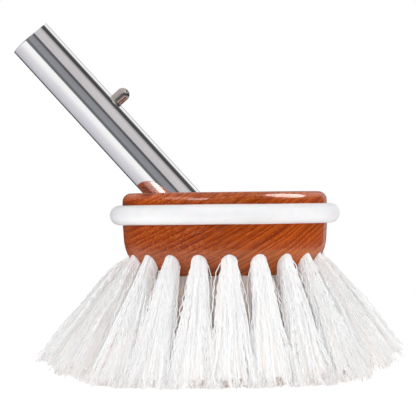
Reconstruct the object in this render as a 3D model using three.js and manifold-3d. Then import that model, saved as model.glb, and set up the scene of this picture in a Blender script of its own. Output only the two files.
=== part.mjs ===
// Deck brush: a round hardwood block with splayed bristle tufts, a soft bumper ring in a groove,
// and a steel handle tube with a spring button that locks it into a pole.
// Millimetres, +Z up. The origin lies on the block's axis, level with the bristle tips.
// The handle tube leans towards -X, and the front of the brush faces -Y.

import * as THREE from 'three';
import { mergeVertices } from 'three/addons/utils/BufferGeometryUtils.js';
import Module from 'manifold-3d';

const wasm = await Module();
wasm.setup();

// Clearance between neighbouring pieces
const FIT_GAP = 0.3;
const TUFT_GAP = 1;

// Wooden block. Its side draws in a little from the bumper ring down to the chamfer.
const BLOCK_DIAMETER = 120;
const BLOCK_HEIGHT = 48;
const BLOCK_TOP_ROUNDING = 5;
const SIDE_TAPER = 0.9;
const CHAMFER_HEIGHT = 15;
const CHAMFER_WIDTH = 8.6;
const CHAMFER_BLEND = 6;

// Bumper ring: how far it stands out of the block's side, and its middle below the block's top
const BUMPER_PROUD = 7.5;
const BUMPER_CORD_DIAMETER = 11.5;
const BUMPER_DROP = 12.8;

// Bristle tufts: the underside's height above the tips, the drilled holes, how far up the chamfer
// the outer row leaves it, how far the level foot of the inner rows spreads past the block's side,
// and the length of the outermost fibres
const BRISTLE_DEPTH = 63;
const TUFT_HOLE_DIAMETER = 9.6;
const TUFT_HOLE_DEPTH = 11;
const TUFT_NECK = 2;
const TUFT_EDGE_MARGIN = 8;
const OUTER_MOUTH_RISE = 7.3;
const FOOT_OVERHANG = 12;
const OUTER_FIBRE_LENGTH = 75.5;

// Lean of the outermost fibres at the brush's sides and at its front and back, how much more of it
// there is below the handle than on the other side, and the power by which it grows to the sides
const OUTER_LEAN_SIDE = 44.5;
const OUTER_LEAN_FRONT = 24.5;
const OUTER_LEAN_EXTRA = 1.5;
const OUTER_LEAN_POWER = 6;

// Shares of a tuft's length at which its outline is given, from the tips to the neck, and the powers
// of that share by which it widens to its sides and outwards. The tips fill a part of a ring whose
// corners are rounded the less, the higher the power that gives their outline.
const TUFT_SHARES = [1, 0.65, 0.3, 0.1, 0];
const SIDE_SPREAD = 0.85;
const OUT_SPREAD = 0.72;
const TIP_CORNER_POWER = 4;

// Tuft rows: how many tufts, and the turn of the first one from the front
const OUTER_ROW = { name: 'outer_tuft', count: 20, turn: 2 };
const INNER_ROWS = [
  { name: 'second_tuft', count: 14, turn: 15 },
  { name: 'third_tuft', count: 10, turn: 0 },
  { name: 'inner_tuft', count: 5, turn: 18 },
];

// Handle tube: its tilt above the block's top, where its axis leaves that top, and its free length
const TUBE_DIAMETER = 25.4;
const TUBE_WALL = 1.5;
const TUBE_TILT = 48.3;
const TUBE_OFFSET = 31;
const TUBE_REACH = 123.6;
const BORE_WEB = 4;

// Spring button in the tube's wall, measured from the tube's open end
const BUTTON_DIAMETER = 8;
const BUTTON_REACH = 9;
const BUTTON_SETBACK = 61.5;
const BUTTON_FLANGE_WIDTH = 1.2;
const BUTTON_FLANGE_THICKNESS = 1;

// Leaf spring inside the tube
const SPRING_WIDTH = 8;
const SPRING_THICKNESS = 0.8;
const SPRING_LENGTH = 36;
const SPRING_NOSE = 7;
const SPRING_BEND_RADIUS = 3.5;

// Countersunk screw that goes up through the block into the tube
const SCREW_DIAMETER = 4;
const SCREW_HEAD_DIAMETER = 7.4;
const SCREW_HEAD_RIM = 0.4;
const SCREW_HEAD_HEIGHT = 2.4;
const SCREW_TIP_LENGTH = 4;
const SCREW_REACH = 6;
const SCREW_SETBACK = 5;

// Facets of the round shapes
const BLOCK_SIDES = 64;
const TUBE_SIDES = 40;
const SMALL_SIDES = 20;
const TUFT_SIDES = 12;
const ARC_STEPS = 4;
const CORD_STEPS = 8;

// Angles in degrees: a whole turn, and the front of the brush counted from +X
const FULL_TURN = 360;
const FRONT = -90;

// Levels and radii that several pieces share. FOOT_SHARE is half of one row's width at the tips.
const UNDERSIDE = BRISTLE_DEPTH;
const TOP = UNDERSIDE + BLOCK_HEIGHT;
const BLOCK_RADIUS = BLOCK_DIAMETER / 2;
const UNDERSIDE_RADIUS = BLOCK_RADIUS - SIDE_TAPER - CHAMFER_WIDTH;
const CORD_RADIUS = BUMPER_CORD_DIAMETER / 2;
const BUMPER_RADIUS = BLOCK_RADIUS + BUMPER_PROUD - CORD_RADIUS;
const BUMPER_HEIGHT = TOP - BUMPER_DROP;
const FOOT_RADIUS = BLOCK_RADIUS + FOOT_OVERHANG;
const FOOT_SHARE = FOOT_RADIUS / (2 * INNER_ROWS.length + 1);
const TUBE_RADIUS = TUBE_DIAMETER / 2;
const TUBE_INNER_RADIUS = TUBE_RADIUS - TUBE_WALL;
const BORE_RADIUS = TUBE_RADIUS + FIT_GAP;
const TILT = THREE.MathUtils.degToRad(TUBE_TILT);
const BORE_DROP = BLOCK_HEIGHT - TUFT_HOLE_DEPTH - BORE_WEB - BORE_RADIUS * Math.cos(TILT);
const BORE_DEPTH = BORE_DROP / Math.sin(TILT);
const TUBE_INSERTION = BORE_DEPTH - FIT_GAP;
const BUTTON_PLACE = TUBE_REACH - BUTTON_SETBACK;
const BUTTON_RADIUS = BUTTON_DIAMETER / 2;
const FLANGE_RADIUS = BUTTON_RADIUS + BUTTON_FLANGE_WIDTH;
const SCREW_RADIUS = SCREW_DIAMETER / 2;

const material = {
  wood: { color: 0x9a4a1e, roughness: 0.35, metalness: 0 },
  vinyl: { color: 0xe9e9ec, roughness: 0.45, metalness: 0 },
  steel: { color: 0xc4c6cb, roughness: 0.2, metalness: 1 },
  bristle: { color: 0xece6e2, roughness: 0.6, metalness: 0 },
};

function mesh(name, geometry, look) {
  const made = new THREE.Mesh(geometry, new THREE.MeshStandardMaterial(look));
  made.name = name;
  return made;
}

// Booleans on closed meshes

function welded(geometry) {
  const bare = geometry.clone();
  bare.deleteAttribute('normal');
  bare.deleteAttribute('uv');
  return mergeVertices(bare);
}

function solid(geometry) {
  const closed = welded(geometry);
  const corners = closed.index.array;
  const triangles = [];
  for (let i = 0; i < corners.length; i += 3) {
    const [a, b, c] = corners.slice(i, i + 3);
    if (a !== b && b !== c && c !== a) {
      triangles.push(a, b, c);
    }
  }
  return new wasm.Manifold(new wasm.Mesh({
    numProp: 3,
    vertProperties: new Float32Array(closed.attributes.position.array),
    triVerts: new Uint32Array(triangles),
  }));
}

function cut(geometry, cutters) {
  const left = cutters.reduce((body, cutter) => body.subtract(solid(cutter)), solid(geometry));
  const result = left.getMesh();
  const made = new THREE.BufferGeometry();
  made.setAttribute('position', new THREE.BufferAttribute(result.vertProperties, 3));
  made.setIndex(new THREE.BufferAttribute(result.triVerts, 1));
  made.computeVertexNormals();
  return made;
}

// A profile of radius and height turned round the Z axis
function turned(points, sides) {
  return new THREE.LatheGeometry(points, sides).rotateX(Math.PI / 2);
}

// A round bar along Z between two heights
function bar(radius, low, high, sides) {
  const made = new THREE.CylinderGeometry(radius, radius, high - low, sides);
  return made.rotateX(Math.PI / 2).translate(0, 0, (low + high) / 2);
}

// Places in the handle's frame, which runs up the tube along Z with the button on its +X side

const handle = new THREE.Group();
handle.position.set(-TUBE_OFFSET, 0, TOP);
handle.rotation.y = TILT - Math.PI / 2;
handle.updateMatrix();

// Where the screw's axis crosses the outside of the tube's lower wall
const screwCrossing = new THREE.Vector3(-TUBE_RADIUS, 0, SCREW_SETBACK - TUBE_INSERTION);
screwCrossing.applyMatrix4(handle.matrix);

// Tufts, each made in a plane where X runs outwards, and then turned to its place.
// mouth is where the tuft leaves the wood, near and far are the two sides of its tips.

// Where an outermost fibre ends that leans by so many degrees
function leaning(mouth, degrees) {
  const lean = THREE.MathUtils.degToRad(degrees);
  const way = new THREE.Vector3(Math.sin(lean), 0, -Math.cos(lean));
  return mouth.clone().addScaledVector(way, OUTER_FIBRE_LENGTH);
}

// The outer row leaves the chamfer and leans out past the foot of the inner rows
function outerRow() {
  const out = (CHAMFER_WIDTH * OUTER_MOUTH_RISE) / CHAMFER_HEIGHT;
  const mouth = new THREE.Vector3(UNDERSIDE_RADIUS + out, 0, UNDERSIDE + OUTER_MOUTH_RISE);
  return {
    ...OUTER_ROW,
    mouth,
    near: new THREE.Vector3(FOOT_RADIUS + TUFT_GAP / 2, 0, 0),
    far: leaning(mouth, OUTER_LEAN_SIDE),
  };
}

// The inner rows leave the underside, and their tips share the foot evenly
function innerRow(row, index) {
  const tip = FOOT_RADIUS - FOOT_SHARE * (2 * index + 1);
  const share = 1 - index / INNER_ROWS.length;
  const spread = FOOT_SHARE - TUFT_GAP / 2;
  return {
    ...row,
    mouth: new THREE.Vector3((UNDERSIDE_RADIUS - TUFT_EDGE_MARGIN) * share, 0, UNDERSIDE),
    near: new THREE.Vector3(tip - spread, 0, 0),
    far: new THREE.Vector3(tip + spread, 0, 0),
  };
}

// One tuft in the middle, as wide as the inner rows leave room for
function centreRow() {
  const spread = FOOT_SHARE - TUFT_GAP / 2;
  return {
    name: 'centre_tuft',
    count: 1,
    turn: 0,
    mouth: new THREE.Vector3(0, 0, UNDERSIDE),
    near: new THREE.Vector3(-spread, 0, 0),
    far: new THREE.Vector3(spread, 0, 0),
  };
}

const rows = [outerRow(), ...INNER_ROWS.map(innerRow), centreRow()];

function tuftAxis(row) {
  const tip = row.near.clone().lerp(row.far, 0.5);
  return tip.sub(row.mouth).normalize();
}

// The rotation of one tuft of a row about the block's axis, counted from the front
function tuftTurn(row, index) {
  return THREE.MathUtils.degToRad(FRONT + row.turn + (FULL_TURN / row.count) * index);
}

// The far side of a tuft's tips: outer tufts lean by their place round the brush
function farTips(row, turn) {
  if (row.far.z === 0) {
    return row.far;
  }
  const east = Math.cos(turn);
  const lean = THREE.MathUtils.lerp(OUTER_LEAN_FRONT, OUTER_LEAN_SIDE, Math.abs(east) ** OUTER_LEAN_POWER);
  return leaning(row.mouth, lean - OUTER_LEAN_EXTRA * east);
}

// How far a direction's circle is stretched to fill a rounded square
function squareness(x, y) {
  const sum = Math.abs(x) ** TIP_CORNER_POWER + Math.abs(y) ** TIP_CORNER_POWER;
  return Math.hypot(x, y) / Math.max(sum ** (1 / TIP_CORNER_POWER), Number.EPSILON);
}

// A place among a tuft's tips, from -1 to 1 outwards and sideways. Each tuft fills a rounded part
// of the ring that its row has at the foot, so that neighbours meet there, and the one in the middle
// fills a disc.
function tipPlace(row, far, x, y) {
  if (row.count === 1) {
    return new THREE.Vector3(far.x * x, far.x * y, 0);
  }
  const stretch = squareness(x, y);
  const share = (x * stretch + 1) / 2;
  const radius = THREE.MathUtils.lerp(row.near.x, far.x, share);
  const turn = y * stretch * (Math.PI / row.count - TUFT_GAP / (row.near.x + far.x));
  return new THREE.Vector3(radius * Math.cos(turn), radius * Math.sin(turn), far.z * share);
}

// A cylinder of several rings of vertices: the tips first, then up to the neck just outside the hole,
// and the hole's bottom
function tuft(row, turn) {
  const axis = tuftAxis(row);
  const across = new THREE.Vector3(0, -1, 0);
  const outwards = new THREE.Vector3().crossVectors(axis, across).negate();
  const radius = TUFT_HOLE_DIAMETER / 2 - FIT_GAP;
  const neck = row.mouth.clone().addScaledVector(axis, TUFT_NECK);
  const end = row.mouth.clone().addScaledVector(axis, FIT_GAP - TUFT_HOLE_DEPTH);
  const far = farTips(row, turn);
  const bands = TUFT_SHARES.length;
  const made = new THREE.CylinderGeometry(1, 1, bands, TUFT_SIDES, bands);
  const places = made.attributes.position;
  for (let i = 0; i < places.count; i += 1) {
    const x = places.getX(i);
    const z = places.getZ(i);
    const ring = Math.round(places.getY(i) + bands / 2);
    const place = (ring < bands ? neck : end).clone();
    place.addScaledVector(outwards, radius * x).addScaledVector(across, radius * z);
    if (ring < bands) {
      const share = TUFT_SHARES[ring];
      const reach = tipPlace(row, far, x, -z).sub(place);
      const out = reach.dot(outwards);
      const bulge = out > 0 && row.far.z > 0 ? OUT_SPREAD : 1;
      place.addScaledVector(axis, reach.dot(axis) * share);
      place.addScaledVector(outwards, out * share ** bulge);
      place.addScaledVector(across, reach.dot(across) * share ** SIDE_SPREAD);
    }
    places.setXYZ(i, place.x, place.y, place.z);
  }
  made.computeVertexNormals();
  return made;
}

function tuftHole(row) {
  const axis = tuftAxis(row);
  const made = bar(TUFT_HOLE_DIAMETER / 2, -TUFT_HOLE_DEPTH, TUFT_HOLE_DIAMETER, TUFT_SIDES);
  const turn = new THREE.Quaternion().setFromUnitVectors(new THREE.Vector3(0, 0, 1), axis);
  return made.applyQuaternion(turn).translate(row.mouth.x, row.mouth.y, row.mouth.z);
}

function eachTuft(row, make) {
  return Array.from({ length: row.count }, (unused, index) => make(tuftTurn(row, index), index));
}

function tuftMeshes(row) {
  return eachTuft(row, (turn, index) => {
    const number = String(index + 1).padStart(2, '0');
    const name = row.count > 1 ? `${row.name}_${number}` : row.name;
    const made = mesh(name, tuft(row, turn), material.bristle);
    made.rotation.z = turn;
    return made;
  });
}

// Screw, standing on its head, or with a gap the hole that it sits in

function screwProfile(gap) {
  const point = screwCrossing.z + SCREW_REACH;
  const radius = SCREW_RADIUS + gap;
  const head = SCREW_HEAD_DIAMETER / 2 + gap;
  return [
    new THREE.Vector2(0, UNDERSIDE - gap),
    new THREE.Vector2(head, UNDERSIDE - gap),
    new THREE.Vector2(head, UNDERSIDE + SCREW_HEAD_RIM + gap),
    new THREE.Vector2(radius, UNDERSIDE + SCREW_HEAD_HEIGHT + gap),
    new THREE.Vector2(radius, point - SCREW_TIP_LENGTH + gap),
    new THREE.Vector2(0, point + gap),
  ];
}

function screw(gap) {
  return turned(screwProfile(gap), SMALL_SIDES).translate(screwCrossing.x, 0, 0);
}

// Block

function blockProfile() {
  const path = new THREE.Path();
  const grooveRadius = CORD_RADIUS + FIT_GAP;
  const grooveSet = BUMPER_RADIUS - BLOCK_RADIUS;
  const lip = Math.acos(grooveSet / grooveRadius);
  const lipRise = grooveRadius * Math.sin(lip);
  const crease = new THREE.Vector2(BLOCK_RADIUS - SIDE_TAPER, UNDERSIDE + CHAMFER_HEIGHT);
  const foot = new THREE.Vector2(UNDERSIDE_RADIUS, UNDERSIDE);
  const lowerLip = new THREE.Vector2(BLOCK_RADIUS, BUMPER_HEIGHT - lipRise);
  const blendStart = foot.clone().sub(crease).setLength(CHAMFER_BLEND).add(crease);
  const blendEnd = lowerLip.clone().sub(crease).setLength(CHAMFER_BLEND).add(crease);
  const fillet = BLOCK_TOP_ROUNDING;
  path.moveTo(0, UNDERSIDE);
  path.lineTo(foot.x, foot.y);
  path.lineTo(blendStart.x, blendStart.y);
  path.quadraticCurveTo(crease.x, crease.y, blendEnd.x, blendEnd.y);
  path.lineTo(lowerLip.x, lowerLip.y);
  path.absarc(BUMPER_RADIUS, BUMPER_HEIGHT, grooveRadius, Math.PI + lip, Math.PI - lip, true);
  path.lineTo(BLOCK_RADIUS, TOP - fillet);
  path.absarc(BLOCK_RADIUS - fillet, TOP - fillet, fillet, 0, Math.PI / 2, false);
  path.lineTo(0, TOP);
  return path.getPoints(ARC_STEPS);
}

function block() {
  const bore = bar(BORE_RADIUS, -BORE_DEPTH, TUBE_REACH, TUBE_SIDES).applyMatrix4(handle.matrix);
  const holes = rows.flatMap((row) => eachTuft(row, (turn) => tuftHole(row).rotateZ(turn)));
  return cut(turned(blockProfile(), BLOCK_SIDES), [bore, screw(FIT_GAP), ...holes]);
}

// Bumper ring

function bumper() {
  const path = new THREE.Path();
  path.absarc(BUMPER_RADIUS, BUMPER_HEIGHT, CORD_RADIUS, 0, 2 * Math.PI, false);
  return turned(path.getPoints(CORD_STEPS), BLOCK_SIDES);
}

// Handle tube with the button's hole and the screw's hole

function tube() {
  const walls = [
    new THREE.Vector2(TUBE_INNER_RADIUS, -TUBE_INSERTION),
    new THREE.Vector2(TUBE_RADIUS, -TUBE_INSERTION),
    new THREE.Vector2(TUBE_RADIUS, TUBE_REACH),
    new THREE.Vector2(TUBE_INNER_RADIUS, TUBE_REACH),
    new THREE.Vector2(TUBE_INNER_RADIUS, -TUBE_INSERTION),
  ];
  const buttonHole = bar(BUTTON_RADIUS + FIT_GAP, 0, 2 * TUBE_RADIUS, SMALL_SIDES);
  buttonHole.rotateY(Math.PI / 2).translate(0, 0, BUTTON_PLACE);
  const screwHole = screw(FIT_GAP).applyMatrix4(handle.matrix.clone().invert());
  return cut(turned(walls, TUBE_SIDES), [buttonHole, screwHole]);
}

// Button, along its own axis from the tube's middle outwards

const flangeTop = Math.sqrt(TUBE_INNER_RADIUS ** 2 - FLANGE_RADIUS ** 2) - FIT_GAP;
const flangeBottom = flangeTop - BUTTON_FLANGE_THICKNESS;

function button() {
  const shoulder = TUBE_RADIUS + BUTTON_REACH - BUTTON_RADIUS;
  const path = new THREE.Path();
  path.moveTo(0, flangeBottom);
  path.lineTo(FLANGE_RADIUS, flangeBottom);
  path.lineTo(FLANGE_RADIUS, flangeTop);
  path.lineTo(BUTTON_RADIUS, flangeTop);
  path.lineTo(BUTTON_RADIUS, shoulder);
  path.absarc(0, shoulder, BUTTON_RADIUS, 0, Math.PI / 2, false);
  return turned(path.getPoints(ARC_STEPS), SMALL_SIDES);
}

// Leaf spring, bent to a V: one leg under the button, the other along the opposite wall

function springLine() {
  const upper = flangeBottom - FIT_GAP - SPRING_THICKNESS / 2;
  const chord = Math.sqrt(TUBE_INNER_RADIUS ** 2 - (SPRING_WIDTH / 2) ** 2);
  const lower = chord - FIT_GAP - SPRING_THICKNESS;
  const path = new THREE.Path();
  path.moveTo(SPRING_NOSE, upper);
  path.lineTo(-SPRING_NOSE, upper);
  path.lineTo(-SPRING_LENGTH, SPRING_BEND_RADIUS);
  path.absarc(-SPRING_LENGTH, 0, SPRING_BEND_RADIUS, Math.PI / 2, 1.5 * Math.PI, false);
  path.lineTo(SPRING_NOSE, -lower);
  return path.getPoints(ARC_STEPS);
}

// The outline of a strip of even thickness that follows a bent line
function stripOutline(line, thickness) {
  const side = (sign) => line.map((point, index) => {
    const before = line[Math.max(index - 1, 0)];
    const after = line[Math.min(index + 1, line.length - 1)];
    const along = after.clone().sub(before).normalize();
    return new THREE.Vector2(-along.y, along.x).multiplyScalar((sign * thickness) / 2).add(point);
  });
  return new THREE.Shape([...side(1), ...side(-1).reverse()]);
}

function spring() {
  const outline = stripOutline(springLine(), SPRING_THICKNESS);
  const made = new THREE.ExtrudeGeometry(outline, { depth: SPRING_WIDTH, bevelEnabled: false });
  const lengthways = new THREE.Vector3(0, 0, 1);
  const upwards = new THREE.Vector3(1, 0, 0);
  const sideways = new THREE.Vector3(0, 1, 0);
  made.translate(0, 0, -SPRING_WIDTH / 2);
  return made.applyMatrix4(new THREE.Matrix4().makeBasis(lengthways, upwards, sideways));
}

// The assembly

const brush = new THREE.Group();
brush.add(mesh('block', block(), material.wood));
brush.add(mesh('bumper_ring', bumper(), material.vinyl));
brush.add(mesh('tube_screw', screw(0), material.steel));
brush.add(...rows.flatMap(tuftMeshes));

const snapButton = mesh('snap_button', button(), material.steel);
snapButton.position.z = BUTTON_PLACE;
snapButton.rotation.y = Math.PI / 2;

const buttonSpring = mesh('button_spring', spring(), material.steel);
buttonSpring.position.z = BUTTON_PLACE;

handle.add(mesh('handle_tube', tube(), material.steel), snapButton, buttonSpring);
brush.add(handle);

export default brush;
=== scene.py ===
import math
from collections import namedtuple

import bmesh
import bpy
import numpy as np
from mathutils import Matrix, Vector


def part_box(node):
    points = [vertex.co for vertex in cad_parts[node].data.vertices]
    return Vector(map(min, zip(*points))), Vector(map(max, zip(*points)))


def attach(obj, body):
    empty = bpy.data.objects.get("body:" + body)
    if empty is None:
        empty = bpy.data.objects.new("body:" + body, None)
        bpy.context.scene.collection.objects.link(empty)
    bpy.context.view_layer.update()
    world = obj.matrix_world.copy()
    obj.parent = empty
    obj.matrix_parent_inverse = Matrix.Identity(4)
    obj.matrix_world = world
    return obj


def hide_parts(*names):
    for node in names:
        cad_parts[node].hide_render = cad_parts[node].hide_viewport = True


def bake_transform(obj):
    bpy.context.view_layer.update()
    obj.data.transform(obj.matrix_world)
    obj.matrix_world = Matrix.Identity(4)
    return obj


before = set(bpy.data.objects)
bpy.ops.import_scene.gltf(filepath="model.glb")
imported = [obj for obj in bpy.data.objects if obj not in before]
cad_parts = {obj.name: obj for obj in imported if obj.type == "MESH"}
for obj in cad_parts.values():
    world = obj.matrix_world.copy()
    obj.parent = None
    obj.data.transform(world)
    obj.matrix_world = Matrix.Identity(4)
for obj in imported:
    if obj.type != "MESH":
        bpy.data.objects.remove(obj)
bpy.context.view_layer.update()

# Sizes are in millimetres, and a mesh turns them into metres when it is made
MM = 0.001
FIT_GAP = 0.3


def box_of(node):
    low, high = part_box(node)
    return low / MM, high / MM


# Block
BLOCK_LOW, BLOCK_HIGH = box_of("block")
UNDERSIDE = BLOCK_LOW.z
TOP = BLOCK_HIGH.z
BLOCK_RADIUS = BLOCK_HIGH.x
TOP_ROUNDING = 5
SIDE_TAPER = 0.9
CHAMFER_HEIGHT = 15
CHAMFER_WIDTH = 8.6
CHAMFER_BLEND = 6
FOOT_EDGE_ROUNDING = 1.2
UNDERSIDE_RADIUS = BLOCK_RADIUS - SIDE_TAPER - CHAMFER_WIDTH
BLOCK_SIDES = 240

# Bumper ring
RING_LOW, RING_HIGH = box_of("bumper_ring")
CORD_RADIUS = (RING_HIGH.z - RING_LOW.z) / 2
RING_HEIGHT = (RING_HIGH.z + RING_LOW.z) / 2
RING_RADIUS = RING_HIGH.x - CORD_RADIUS
RING_WAVER = 0.06
CORD_SIDES = 40

# Handle tube, in a frame that runs up the tube along Z with the button on its +X side
TUBE_RADIUS = 12.7
TUBE_INNER_RADIUS = 11.2
TUBE_TILT = 48.3
TUBE_OFFSET = 31
TUBE_REACH = 123.6
TUBE_INSERTION = 32.31
TUBE_LIP = 0.35
TUBE_SIDES = 192
HANDLE = Matrix.Translation((-TUBE_OFFSET, 0, TOP)) @ Matrix.Rotation(math.radians(TUBE_TILT - 90), 4, "Y")
TUBE_UP = HANDLE.to_3x3() @ Vector((0, 0, 1))
BUTTON_SIDE = HANDLE.to_3x3() @ Vector((1, 0, 0))

# Button and its leaf spring, along the tube from the button's middle
BUTTON_PLACE = 62.1
BUTTON_RADIUS = 4
BUTTON_TIP = 21.7
FLANGE_RADIUS = 5.2
FLANGE_TOP = 9.62
FLANGE_THICKNESS = 1
FLANGE_EDGE = 0.25
SPRING_WIDTH = 8
SPRING_THICKNESS = 0.8
SPRING_LENGTH = 36
SPRING_NOSE = 7
SPRING_BEND_RADIUS = 3.5
SPRING_UPPER = 7.92
SPRING_LOWER = 9.36

# Screw
SCREW_LOW, SCREW_HIGH = box_of("tube_screw")
SCREW_PLACE = (SCREW_LOW.x + SCREW_HIGH.x) / 2
SCREW_RADIUS = 2
SCREW_HEAD_RADIUS = (SCREW_HIGH.x - SCREW_LOW.x) / 2
SCREW_HEAD_RIM = 0.4
SCREW_HEAD_HEIGHT = 2.4
SCREW_TIP_LENGTH = 4
SCREW_PITCH = 1.4
SCREW_THREAD_DEPTH = 0.5
SCREW_SLOT_WIDTH = 1.1
SCREW_SLOT_LENGTH = 4.4
SCREW_SLOT_DEPTH = 1.3

# Tufts: mouth is where a tuft leaves the wood, near and far are the two sides of its tips,
# each as a distance from the block's axis and a height
TUFT_HOLE_RADIUS = 4.8
TUFT_HOLE_DEPTH = 11
TUFT_EDGE_MARGIN = 8
OUTER_MOUTH_RISE = 7.3
TUFT_GAP = 1
FOOT_OVERHANG = 12
OUTER_FIBRE_LENGTH = 75.5
LEAN_SIDE = 44.5
LEAN_FRONT = 24.5
LEAN_EXTRA = 1.5
LEAN_POWER = 6
FOOT_RADIUS = BLOCK_RADIUS + FOOT_OVERHANG
Row = namedtuple("Row", "name count turn mouth near far locks")

# Fibres
FIBRE_RADIUS = 0.31
FIBRE_TAPER = 0.15
FIBRE_SIDES = 3
FIBRE_POINTS = 46
FIBRES_IN_A_LOCK = 9
LOCK_CROWDING = 0.18
LOCK_WIDTH = 0.13
LOCK_GATHER = 0.4
LOCK_SCATTER = 0.08
FACE_OUT_SCATTER = 0.4
CORE_SHARE = 0.74
CORE_TIP_SHARE = 0.64
CORE_LENGTH = 0.93
CORE_SIDES = 16
ROOT_SPREAD = 4.6
ROOT_DEPTH = 9
SIDE_SPREAD_FRONT = 1.4
SIDE_SPREAD_SIDE = 1.0
STRAY_SIDE_SPREAD = 0.85
OUT_SPREAD = 0.72
INNER_OUT_SPREAD = 0.42
NEIGHBOUR_MIXING = 1.35
TIP_SCATTER = 0.03
TUFT_SCATTER = 0.8
CUT_SCATTER = 0.01
SHORTEST_LOCK = 0.92
LONGEST_LOCK = 1.055
LENGTH_EXTRA = 0.025
TIP_CURL = 1.3
TIP_CURL_START = 0.9
CRIMP_LENGTH = 6.5
CRIMP_SIZE = 0.38
SWAY_LENGTH = 41
SWAY_SIZE = 0.45
STRAY_SHARE = 0.1
STRAY_CRIMP = 1.4
WAVE_SCATTER = 0.2
STRAY_REACH = 0.8
STRAY_PEAK = 0.55
FLOOR_GAP = 0.1
# How far the core's tint lies above the lowest tint of its fibres. The core and the inner rows get the warm,
# darker low end of the tints, painted shade for the gaps between tufts
CORE_SHADE_TINT = 0.03
INNER_SHADE_TINTS = (0, 0.06)
OUTER_TINTS = (0.05, 1)
SEED = 7


# Meshes


def new_mesh(name, points, *faces):
    """A mesh in metres from points in millimetres and arrays of faces.
    The faces of one array all have the same number of corners."""
    mesh = bpy.data.meshes.new(name)
    corners = np.concatenate([np.asarray(f).ravel() for f in faces])
    totals = np.concatenate([np.full(len(f), np.shape(f)[1]) for f in faces])
    starts = np.cumsum(totals) - totals
    mesh.vertices.add(len(points))
    mesh.vertices.foreach_set("co", (np.asarray(points) * MM).astype(np.float32).ravel())
    mesh.loops.add(len(corners))
    mesh.loops.foreach_set("vertex_index", corners.astype(np.int32))
    mesh.polygons.add(len(totals))
    mesh.polygons.foreach_set("loop_start", starts.astype(np.int32))
    mesh.update(calc_edges=True)
    return mesh


def new_object(name, mesh):
    made = bpy.data.objects.new(name, mesh)
    bpy.context.scene.collection.objects.link(made)
    return made


def moved(points, matrix):
    """Points in millimetres after a matrix in millimetres."""
    m = np.array(matrix)
    return np.asarray(points) @ m[:3, :3].T + m[:3, 3]


def face_outwards(mesh):
    work = bmesh.new()
    work.from_mesh(mesh)
    bmesh.ops.recalc_face_normals(work, faces=work.faces)
    work.to_mesh(mesh)
    work.free()


def turned(name, outline, sides, matrix=None):
    """A closed mesh made by turning an outline of (radius, height) points about Z.
    The outline starts and ends on the axis, or closes on itself."""
    outline = np.asarray(outline, float)
    on_axis = outline[0, 0] == 0
    rings = outline[1:-1] if on_axis else outline
    angles = np.arange(sides) * 2 * math.pi / sides
    around = np.stack([np.cos(angles), np.sin(angles)], 1)
    points = np.concatenate([np.column_stack([around * r, np.full(sides, z)]) for r, z in rings])
    here = np.arange(sides)
    after = (here + 1) % sides
    last = len(rings) - 1
    pairs = [(i, i + 1) for i in range(last)] + ([] if on_axis else [(last, 0)])
    walls = [
        np.stack([a * sides + here, a * sides + after, b * sides + after, b * sides + here], 1)
        for a, b in pairs
    ]
    faces = [np.concatenate(walls)]
    if on_axis:
        ends = [(0, 0, outline[0, 1]), (0, 0, outline[-1, 1])]
        low, high = len(points), len(points) + 1
        points = np.concatenate([points, ends])
        faces.append(np.stack([np.full(sides, low), after, here], 1))
        faces.append(np.stack([np.full(sides, high), last * sides + here, last * sides + after], 1))
    mesh = new_mesh(name, points if matrix is None else moved(points, matrix), *faces)
    face_outwards(mesh)
    return mesh


def arc(centre, radius, start, end, steps):
    """Points on an arc from one angle to another, in degrees."""
    angles = np.radians(np.linspace(start, end, steps))
    return [(centre[0] + radius * math.cos(a), centre[1] + radius * math.sin(a)) for a in angles]


def joined(name, meshes):
    """One mesh of several closed ones that don't overlap."""
    work = bmesh.new()
    for mesh in meshes:
        work.from_mesh(mesh)
    result = bpy.data.meshes.new(name)
    work.to_mesh(result)
    work.free()
    return result


def carved(obj, cutter_mesh):
    """Cuts a closed mesh out of an object."""
    cutter = new_object("cutter", cutter_mesh)
    modifier = obj.modifiers.new("cut", "BOOLEAN")
    modifier.operation = "DIFFERENCE"
    modifier.solver = "MANIFOLD"
    modifier.object = cutter
    bpy.context.view_layer.update()
    whole = obj.evaluated_get(bpy.context.evaluated_depsgraph_get())
    result = bpy.data.meshes.new_from_object(whole)
    obj.modifiers.clear()
    obj.data = result
    bpy.data.objects.remove(cutter)


def smooth(obj, angle=32):
    """Smooth shading, with edges sharper than the angle kept crisp."""
    obj.data.shade_smooth()
    obj.data.set_sharp_from_angle(angle=math.radians(angle))


def finished(obj, look, slot, *nodes, body="brush"):
    """Gives a piece its material, hides the model's parts that it stands for, and attaches it to the body
    that it moves with, if one is given.
    """
    obj.data.materials.clear()
    obj.data.materials.append(look)
    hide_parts(*nodes)
    if body:
        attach(obj, body)
    return obj


# Materials


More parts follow.
